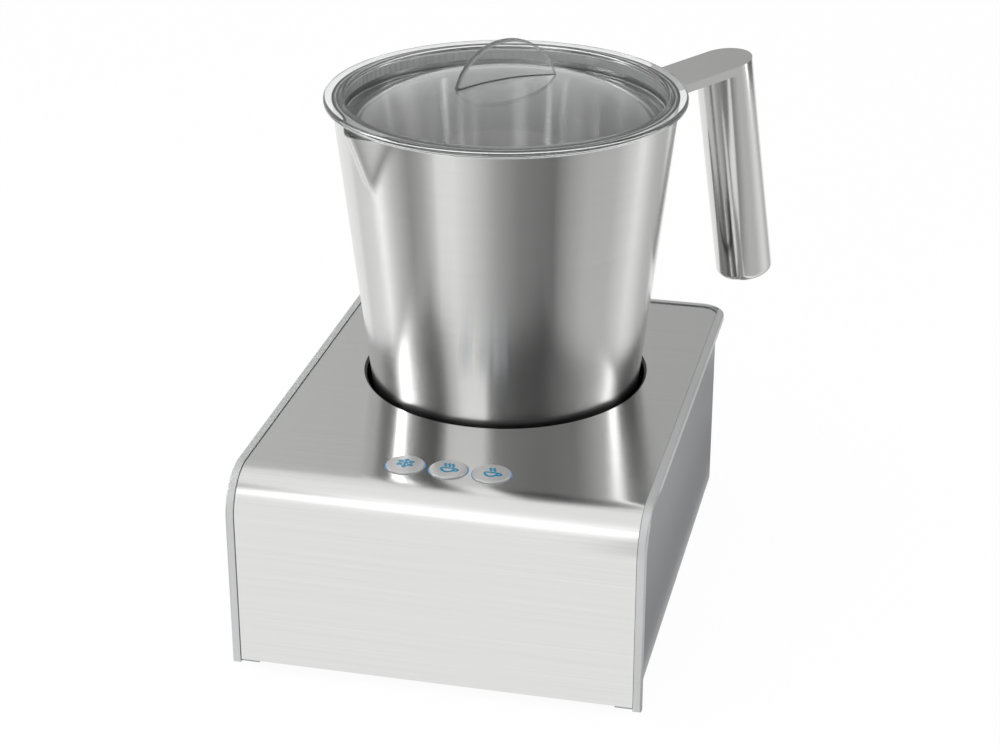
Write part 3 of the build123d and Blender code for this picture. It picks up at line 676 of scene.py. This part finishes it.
def oval(centre, across, up, start, end, count):
    """Points on part of an oval, with angles in degrees."""
    turns = [math.radians(start + (end - start) * step / count) for step in range(count + 1)]
    return [(centre[0] + across * math.cos(turn), centre[1] + up * math.sin(turn)) for turn in turns]


def arc(centre, radius, start, end, count):
    """Points on part of a circle, with angles in degrees."""
    return oval(centre, radius, radius, start, end, count)


def wall_points(low, high):
    """Points up a straight wall, closer together near its top."""
    shares = [1.0 - (1.0 - step / JUG_ROWS) ** ROW_CROWDING for step in range(1, JUG_ROWS)]
    return [(low[0] + (high[0] - low[0]) * share, low[1] + (high[1] - low[1]) * share) for share in shares]


def jug_outline():
    """Half section of the jug: out along its floor, up its wall, over the rim and back down inside."""
    lean = math.degrees(math.atan(jug_flare))
    outline = [(0.0, jug_low.z)]
    for inset, floor, order in ((0.0, jug_low.z, 1), (JUG_WALL, jug_low.z + JUG_FLOOR, -1)):
        corner = JUG_CORNER - inset
        foot = JUG_FLOOR_RADIUS + (floor - jug_low.z) * jug_flare - inset
        half_turn = math.radians(90.0 - lean) / 2
        centre = (foot - corner * math.tan(half_turn), floor + corner)
        bend = arc(centre, corner, -90.0, -lean, CORNER_STEPS)
        rim = (JUG_RIM_RADIUS - inset, jug_high.z)
        points = bend + wall_points(bend[-1], rim) + [rim]
        outline += points[::order]
    return outline + [(0.0, jug_low.z + JUG_FLOOR)]


def distances(outline):
    """How far along a section each of its points lies."""
    travel = [0.0]
    for before, after in zip(outline, outline[1:]):
        travel.append(travel[-1] + math.dist(before, after))
    return travel


def turned(name, outline, centre, segments, uv_name):
    """A closed shell turned from a half section, with a UV map: along the section, then round."""
    form = bmesh.new()
    layer = form.loops.layers.uv.new(uv_name)
    travel = distances(outline)
    rings = []
    for radius, height in outline:
        ring = []
        for step in range(segments if radius > 0.0 else 1):
            turn = math.tau * step / segments
            spot = (centre.x + radius * math.cos(turn), centre.y + radius * math.sin(turn), height)
            ring.append(form.verts.new(spot))
        rings.append(ring)
    reach = max(radius for radius, _ in outline)
    for row, (lower, upper) in enumerate(zip(rings, rings[1:])):
        for step in range(segments):
            ahead = step + 1
            below = ((lower, step, row), (lower, ahead, row))
            above = ((upper, ahead, row + 1), (upper, step, row + 1))
            picked = {}
            for ring, place, level in below + above:
                vertex = ring[place % len(ring)]
                picked.setdefault(vertex, (travel[level], reach * math.tau * place / segments))
            face = form.faces.new(picked)
            for loop in face.loops:
                loop[layer].uv = picked[loop.vert]
    return new_piece(name, mesh_from(form, name))


jug_section = jug_outline()
rim_travel = distances(jug_section)[len(jug_section) // 2]
STEEL_JUG = brushed_metal(
    "brushed_jug", (3800.0, 14.0, 1.0), (0.66, 0.66, 0.655), (0.72, 0.72, 0.715), (0.15, 0.22),
    bend=1.0, relief=0.001 * mm, uv_name="shell", inside=(rim_travel, 0.75, 0.25),
)
jug = turned("steel_jug", jug_section, jug_middle, JUG_SEGMENTS, "shell")
use_tree(
    jug,
    pressed_lip_tree(),
    Axis_X=jug_middle.x,
    Axis_Y=jug_middle.y,
    Rim=jug_high.z,
    Rim_Radius=JUG_RIM_RADIUS,
    Flare=jug_flare,
    Turn=LIP_TURN,
    Reach=LIP_REACH,
    Half_Width=LIP_HALF_WIDTH,
    Root=LIP_ROOT,
    Drop=LIP_DROP,
    Softness=LIP_SOFTNESS,
    Span=LIP_SPAN,
    Blunt=LIP_BLUNT,
    Finish=STEEL_JUG,
)
shade_smooth(jug.data)
finish_piece(jug, STEEL_JUG, "jug", "jug_steel", "jug_shell")


# Lid: a clear dome sunk inside a flange, with a half-moon grip


lid_edge = jug_high.z - LID_PLUG_DEPTH
lid_slope = math.asin(LID_PLUG / LID_DOME_RADIUS)
dome_centre = (0.0, lid_edge - LID_DOME_RADIUS * math.cos(lid_slope))
dome_top = dome_centre[1] + LID_DOME_RADIUS


def lid_outline():
    """Half section of the lid: out under the dome, up the plug, round the flange, and in over the dome."""
    top = jug_high.z + LID_FLANGE
    plug_outer = LID_PLUG + LID_WALL
    plug_bottom = lid_edge - LID_WALL * (math.tan(lid_slope) + 1 / math.cos(lid_slope))
    flange = LID_RADIUS - LID_ROUND
    half_turn = (math.pi / 2 - lid_slope) / 2
    hollow = (LID_PLUG - LID_CORNER, lid_edge + LID_CORNER / math.tan(half_turn))
    corner = arc(hollow, LID_CORNER, 0.0, -90.0 - math.degrees(lid_slope), CORNER_STEPS)
    over_turn = math.degrees(math.acos(corner[-1][0] / LID_DOME_RADIUS))
    under = arc(dome_centre, LID_DOME_RADIUS - LID_WALL, 90.0, 90.0 - math.degrees(lid_slope), DOME_STEPS)
    over = arc(dome_centre, LID_DOME_RADIUS, over_turn, 90.0, DOME_STEPS)
    outline = [(0.0, dome_top - LID_WALL), *under[1:], (plug_outer, plug_bottom), (plug_outer, jug_high.z)]
    outline += arc((flange, jug_high.z + LID_ROUND), LID_ROUND, -90.0, 0.0, EDGE_STEPS)
    outline += arc((flange, top - LID_ROUND), LID_ROUND, 0.0, 90.0, EDGE_STEPS)
    outline += arc((LID_PLUG + LID_ROUND, top - LID_ROUND), LID_ROUND, 90.0, 180.0, EDGE_STEPS)
    return outline + corner + over[1:-1] + [(0.0, dome_top)]


def fin_outline():
    """Half section of the round disc that the half-moon grip is cut from."""
    half = FIN_THICKNESS / 2
    edge = FIN_RADIUS - FIN_ROUND
    lower = arc((edge, FIN_ROUND - half), FIN_ROUND, -90.0, 0.0, FIN_STEPS)
    upper = arc((edge, half - FIN_ROUND), FIN_ROUND, 0.0, 90.0, FIN_STEPS)
    return [(0.0, -half), *lower, *upper, (0.0, half)]


def combine(piece, other, operation):
    """Cut a piece with another or join it to it, and drop the other."""
    step = piece.modifiers.new(operation, "BOOLEAN")
    step.object = other
    step.operation = operation
    step.solver = "EXACT"
    made_plain(piece)
    bpy.data.meshes.remove(other.data)


fin = turned("half_moon", fin_outline(), Vector(), FIN_SEGMENTS, "fin")
fin_middle = Vector((jug_middle.x, jug_middle.y, dome_top + FIN_HEIGHT - FIN_RADIUS))
upright = Matrix.Rotation(FIN_TURN, 4, "Z") @ Matrix.Rotation(math.pi / 2, 4, "X")
fin.data.transform(Matrix.Translation(fin_middle) @ upright)
ball_outline = arc(dome_centre, LID_DOME_RADIUS - LID_WALL / 2, -90.0, 90.0, BALL_STEPS)
ball_ends = [(0.0, ball_outline[0][1]), *ball_outline[1:-1], (0.0, ball_outline[-1][1])]
combine(fin, turned("under_dome", ball_ends, jug_middle, BALL_SEGMENTS, "ball"), "DIFFERENCE")
lid = turned("clear_dome_lid", lid_outline(), jug_middle, LID_SEGMENTS, "section")
combine(lid, fin, "UNION")
true_normals(lid)
finish_piece(lid, CLEAR_LID, "lid_body", "clear_plastic", "lid")


# Keys and the blue signs on them


def sign_tree():
    """Draws a sign's strokes as flat bands, repeats them round the key and lays them on its crown."""
    sizes = ["Axis X", "Axis Y", "Top", "Crown", "Radius", "Stroke", "Lift"]
    tree, given, result = new_shape_tree("key_sign", sizes, ["Repeats"])
    compute = partial(math_node, tree)
    size = given.outputs
    points = tree.nodes.new("GeometryNodePoints")
    tree.links.new(size["Repeats"], points.inputs["Count"])
    index = tree.nodes.new("GeometryNodeInputIndex").outputs["Index"]
    turn = compute("DIVIDE", compute("MULTIPLY", index, math.tau), size["Repeats"])
    repeat = tree.nodes.new("GeometryNodeInstanceOnPoints")
    tree.links.new(points.outputs["Points"], repeat.inputs["Points"])
    tree.links.new(size["Geometry"], repeat.inputs["Instance"])
    tree.links.new(vector_from(tree, Z=turn), repeat.inputs["Rotation"])
    realize = tree.nodes.new("GeometryNodeRealizeInstances")
    tree.links.new(repeat.outputs["Instances"], realize.inputs["Geometry"])
    curves = tree.nodes.new("GeometryNodeMeshToCurve")
    tree.links.new(realize.outputs["Geometry"], curves.inputs["Mesh"])
    profile = tree.nodes.new("GeometryNodeCurvePrimitiveCircle")
    profile.inputs["Resolution"].default_value = STROKE_SIDES
    tree.links.new(compute("DIVIDE", size["Stroke"], 2.0), profile.inputs["Radius"])
    band = tree.nodes.new("GeometryNodeCurveToMesh")
    band.inputs["Fill Caps"].default_value = True
    tree.links.new(curves.outputs["Curve"], band.inputs["Curve"])
    tree.links.new(profile.outputs["Curve"], band.inputs["Profile Curve"])
    east, north, up = place_parts(tree)
    away = compute("ADD", compute("MULTIPLY", east, east), compute("MULTIPLY", north, north))
    share = compute("DIVIDE", away, compute("MULTIPLY", size["Radius"], size["Radius"]))
    level = compute("SUBTRACT", size["Top"], compute("MULTIPLY", size["Crown"], share))
    flat = compute("MULTIPLY", compute("DIVIDE", up, size["Stroke"]), size["Lift"])
    settled = vector_from(
        tree,
        X=compute("ADD", east, size["Axis X"]),
        Y=compute("ADD", north, size["Axis Y"]),
        Z=compute("ADD", level, flat),
    )
    move = tree.nodes.new("GeometryNodeSetPosition")
    tree.links.new(band.outputs["Mesh"], move.inputs["Geometry"])
    tree.links.new(settled, move.inputs["Position"])
    end_tree(tree, move.outputs["Geometry"], size["Finish"], result)
    return tree


def snow_strokes():
    """One arm of a snow crystal, with two pairs of twigs."""
    strokes = [[(0.0, SNOW_HEART), (0.0, SNOW_REACH)]]
    for foot, length in SNOW_TWIGS:
        for side in (-1, 1):
            tip = (side * length * SNOW_REACH, (foot + length * TWIG_RISE) * SNOW_REACH)
            strokes.append([(0.0, foot * SNOW_REACH), tip])
    return strokes


def cup_strokes(wisps):
    """A cup with an ear, and wisps of steam over it."""
    bowl = oval((0.0, CUP_TOP), CUP_WIDTH / 2, CUP_DEPTH, -180.0, 0.0, CUP_STEPS)
    ear = oval((CUP_WIDTH / 2, CUP_TOP - EAR_DROP), EAR_WIDTH, EAR_HEIGHT, -120.0, 90.0, CUP_STEPS)
    strokes = [bowl + [bowl[0]], ear]
    steps = [step / STEAM_STEPS for step in range(STEAM_STEPS + 1)]
    for wisp in range(wisps):
        middle_line = (wisp - (wisps - 1) / 2) * STEAM_GAP
        sway = [middle_line + STEAM_SWAY * math.sin(math.tau * step) for step in steps]
        rise = [STEAM_FOOT + STEAM_HEIGHT * step for step in steps]
        strokes.append(list(zip(sway, rise)))
    return strokes


def stroke_mesh(name, strokes):
    """Strokes as chains of edges."""
    form = bmesh.new()
    for stroke in strokes:
        places = [stroke[0]]
        for start, end in zip(stroke, stroke[1:]):
            count = math.ceil(math.dist(start, end) / STROKE_STEP)
            shares = [step / count for step in range(1, count + 1)]
            places += [tuple(Vector(start).lerp(Vector(end), share)) for share in shares]
        spots = [form.verts.new((east, north, 0.0)) for east, north in places]
        for before, after in zip(spots, spots[1:]):
            form.edges.new((before, after))
    return mesh_from(form, name)


SIGN_TREE = sign_tree()
KEYS = (
    ("cold_froth", snow_strokes(), SNOW_ARMS, SNOW_STROKE),
    ("hot_froth", cup_strokes(3), 1, CUP_STROKE),
    ("warm_milk", cup_strokes(2), 1, CUP_STROKE),
)

for key, strokes, repeats, width in KEYS:
    low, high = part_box(f"{key}_button")
    cap = smooth_copy(f"{key}_button", f"{key}_cap")
    finish_piece(cap, KEY_SILVER, f"{key}_key", "button_silver", f"{key}_button")
    sign = new_piece(f"{key}_sign", stroke_mesh(f"{key}_sign", strokes))
    use_tree(
        sign,
        SIGN_TREE,
        Axis_X=(low.x + high.x) / 2,
        Axis_Y=(low.y + high.y) / 2,
        Top=high.z,
        Crown=KEY_CROWN,
        Radius=(high.x - low.x) / 2,
        Stroke=width,
        Lift=SIGN_LIFT,
        Repeats=repeats,
        Finish=KEY_SIGN_PRINT_AND_PAINTED_GLOW,
    )
    finish_piece(sign, KEY_SIGN_PRINT_AND_PAINTED_GLOW, f"{key}_key", "blue_light")


# Finishes of the nodes that keep their own mesh
for material, names in (
    (DARK_MOULD, ("base_plate", "coil_carrier", "well_legs", "motor_bracket", "button_switches")),
    (PLATED, ("base_screws", "carrier_screws", "motor", "drive_shaft", "drive_magnets", "whisk_magnet")),
    (PALE_MOULD, ("magnet_holder", "button_guide")),
    (BOARD, ("control_board", "power_board")),
    (BLUE_LIGHT, ("button_lights", "light_rings")),
    (COPPER, ("induction_coil",)),
    (FERRITE, ("ferrite_bars",)),
    (SENSOR, ("heat_sensor",)),
    (SINK, ("heat_sink",)),
    (SLEEVE, ("capacitors",)),
    (TAPE, ("filter_choke",)),
    (STEEL_HANDLE, ("whisk_pin",)),
    (CLEAR_SEAL, ("lid_seal",)),
):
    for node in names:
        dress(nodes[node].data, material)


# Table, light and camera


def seen_directly(tree):
    """One for rays from the camera, in reflections and through clear plastic, and nought for the rest."""
    path = tree.nodes.new("ShaderNodeLightPath")
    first = math_node(tree, "MAXIMUM", path.outputs["Is Camera Ray"], path.outputs["Is Glossy Ray"])
    return math_node(tree, "MAXIMUM", first, path.outputs["Is Transmission Ray"])


def white_world():
    """A white surround where it is seen, and a soft even light elsewhere."""
    world = bpy.data.worlds.new("studio")
    world.use_nodes = True
    bpy.context.scene.world = world
    tree = world.node_tree
    strength = ramp(tree, seen_directly(tree), SURROUND_LIGHT, 1.0)
    tree.links.new(strength, tree.nodes["Background"].inputs["Strength"])
    tree.nodes["Background"].inputs["Color"].default_value = (1.0, 1.0, 1.0, 1.0)


def pale_table():
    """A pale table that stays white where it is seen and keeps a soft shadow."""
    form = bmesh.new()
    bmesh.ops.create_grid(form, x_segments=1, y_segments=1, size=TABLE_REACH)
    table = new_piece("table", mesh_from(form, "table"))
    material, tree, shader = start_material("pale_table")
    shader.inputs["Roughness"].default_value = TABLE_ROUGHNESS
    shader.inputs["Specular IOR Level"].default_value = 0.0
    surface = place_group(tree, MOULDING, object_vector(tree), Tone=TABLE_TONE)
    colour = tint(tree, surface.outputs["Tone"], (0.88, 0.88, 0.88), (0.9, 0.9, 0.9))
    tree.links.new(colour, shader.inputs["Base Color"])
    glow = tree.nodes.new("ShaderNodeEmission")
    glow.inputs["Strength"].default_value = TABLE_GLOW
    blend = tree.nodes.new("ShaderNodeMixShader")
    tree.links.new(ramp(tree, seen_directly(tree), 0.0, TABLE_WHITENESS), blend.inputs["Fac"])
    tree.links.new(shader.outputs["BSDF"], blend.inputs[1])
    tree.links.new(glow.outputs["Emission"], blend.inputs[2])
    tree.links.new(blend.outputs["Shader"], tree.nodes["Material Output"].inputs["Surface"])
    dress(table.data, material)
    table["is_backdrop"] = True


def soft_box(name, place, target, size, power):
    """A soft studio lamp that looks at a point."""
    lamp = bpy.data.lights.new(name, "AREA")
    lamp.shape = "RECTANGLE"
    lamp.size, lamp.size_y = size
    lamp.energy = power
    holder = new_piece(name, lamp)
    holder.location = place
    holder.rotation_euler = (target - place).to_track_quat("-Z", "Y").to_euler()
    holder.visible_glossy = False


def card_material(name, shades=None, shade=1.0, from_above=False):
    """The glow of a studio card: one shade, or stops of turn and shade. Straight looks through the lid pass
    it, so that it only shows in reflections. It can be made to show from above only."""
    material, tree, _ = start_material(name)
    compute = partial(math_node, tree)
    glow = tree.nodes.new("ShaderNodeEmission")
    glow.inputs["Strength"].default_value = shade
    if shades:
        along, _, _ = vector_parts(tree, uv_vector(tree, "card"))
        fade = tree.nodes.new("ShaderNodeFloatCurve")
        points = fade.mapping.curves[0].points
        for _ in shades[2:]:
            points.new(0.5, 0.5)
        start, end = shades[0][0], shades[-1][0]
        for point, (turn, stop) in zip(points, shades):
            point.location = ((turn - start) / (end - start), stop / CARD_BRIGHTEST)
            point.handle_type = "VECTOR"
        fade.mapping.update()
        tree.links.new(along, fade.inputs["Value"])
        tree.links.new(compute("MULTIPLY", fade.outputs[0], CARD_BRIGHTEST), glow.inputs["Strength"])
    path = tree.nodes.new("ShaderNodeLightPath")
    unbent = compute("LESS_THAN", path.outputs["Glossy Depth"], 0.5)
    hidden = compute("MULTIPLY", path.outputs["Is Transmission Ray"], unbent)
    if from_above:
        sides = tree.nodes.new("ShaderNodeNewGeometry")
        hidden = compute("MAXIMUM", hidden, sides.outputs["Backfacing"])
    clear = tree.nodes.new("ShaderNodeBsdfTransparent")
    blend = tree.nodes.new("ShaderNodeMixShader")
    tree.links.new(hidden, blend.inputs["Fac"])
    tree.links.new(glow.outputs["Emission"], blend.inputs[1])
    tree.links.new(clear.outputs["BSDF"], blend.inputs[2])
    tree.links.new(blend.outputs["Shader"], tree.nodes["Material Output"].inputs["Surface"])
    return material


def set_card(name, form, material, seen_through=True):
    """Put a studio card in the scene so that it only shows in reflections."""
    card = new_piece(name, mesh_from(form, name))
    dress(card.data, material)
    card.visible_camera = False
    card.visible_diffuse = False
    card.visible_shadow = False
    card.visible_transmission = seen_through
    card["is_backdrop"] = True


def round_card(name, levels, shades, from_above=False, seen_through=True):
    """A card bent round the object from the first stop's turn to the last; levels are radii and heights."""
    form = bmesh.new()
    layer = form.loops.layers.uv.new("card")
    start, end = shades[0][0], shades[-1][0]
    columns = []
    for step in range(CARD_STEPS + 1):
        turn = start + (end - start) * step / CARD_STEPS
        columns.append([form.verts.new(round_about(turn, radius, height)) for radius, height in levels])
    for step, (left, right) in enumerate(zip(columns, columns[1:])):
        face = form.faces.new((left[0], left[1], right[1], right[0]))
        for loop in face.loops:
            loop[layer].uv = ((step + (loop.vert in right)) / CARD_STEPS, 0.0)
    set_card(name, form, card_material(name, shades, from_above=from_above), seen_through)


def level_card(name, low, high, height, shade):
    """A level card between two corners."""
    form = bmesh.new()
    corners = ((low[0], low[1]), (high[0], low[1]), (high[0], high[1]), (low[0], high[1]))
    form.faces.new([form.verts.new((*corner, height)) for corner in corners])
    set_card(name, form, card_material(name, shade=shade))


def round_about(turn, distance, height):
    """A place at an angle from the camera's side, seen from above, round the jug."""
    heading = math.atan2(-CAMERA_FORWARD.y, -CAMERA_FORWARD.x) + math.radians(turn)
    east = jug_middle.x + distance * math.cos(heading)
    north = jug_middle.y + distance * math.sin(heading)
    return Vector((east, north, height))


def photo_camera():
    """The photograph's viewpoint."""
    data = bpy.data.cameras.new("photo_camera")
    data.lens = CAMERA_LENS
    data.sensor_width = CAMERA_SENSOR
    data.clip_end = CAMERA_REACH
    camera = new_piece("photo_camera", data)
    camera.location = Vector((base_middle.x, base_middle.y, 0.0)) + CAMERA_PLACE
    camera.rotation_euler = CAMERA_FORWARD.to_track_quat("-Z", "Y").to_euler()
    bpy.context.scene.camera = camera


white_world()
pale_table()
lamp_target = Vector((jug_middle.x, jug_middle.y, LAMP_TARGET_HEIGHT))
front_lamp_place = round_about(FRONT_LAMP_TURN, FRONT_LAMP_DISTANCE, FRONT_LAMP_HEIGHT)
soft_box("overhead", OVERHEAD_PLACE, lamp_target, OVERHEAD_SIZE, OVERHEAD_POWER)
soft_box("front_left", front_lamp_place, lamp_target, FRONT_LAMP_SIZE, FRONT_LAMP_POWER)
wall_foot = (CARD_DISTANCE, CARD_LIFT)
wall_head = (CARD_DISTANCE, WALL_TOP)
wall = (wall_foot, wall_head)
apron = ((APRON_START, APRON_HEIGHT), (APRON_END, APRON_HEIGHT))
skirt = ((SKIRT_DISTANCE, CARD_LIFT), (SKIRT_DISTANCE, SKIRT_TOP))
window = ((CARD_DISTANCE, WINDOW_FOOT), (CARD_DISTANCE, WINDOW_TOP))
rear_upper = (wall_head, (CARD_DISTANCE, REAR_TOP))
round_card("left_floor", ((LEFT_FLOOR_START, CARD_LIFT), wall_foot), LEFT_FLOOR_SHADES)
round_card("front_apron", apron, APRON_SHADES, from_above=True)
round_card("side_floor", ((SIDE_FLOOR_START, CARD_LIFT), wall_foot), SIDE_FLOOR_SHADES)
round_card("left_wall", wall, LEFT_WALL_SHADES)
round_card("right_wall", wall, RIGHT_WALL_SHADES)
round_card("front_skirt", skirt, SKIRT_SHADES)
round_card("window", window, WINDOW_SHADES)
round_card("rear_wall", wall, REAR_WALL_SHADES, seen_through=False)
round_card("rear_upper", rear_upper, REAR_UPPER_SHADES, seen_through=False)
_, housing_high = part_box("housing")
beside_front = (housing_high.x, BESIDE_FRONT)
beside_rear = (housing_high.x + BESIDE_WIDTH, housing_high.y + BESIDE_PAST_REAR)
level_card("beside_base", beside_front, beside_rear, CARD_LIFT, BESIDE_SHADE)
photo_camera()
bpy.context.scene.view_settings.view_transform = "Standard"

low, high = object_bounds()
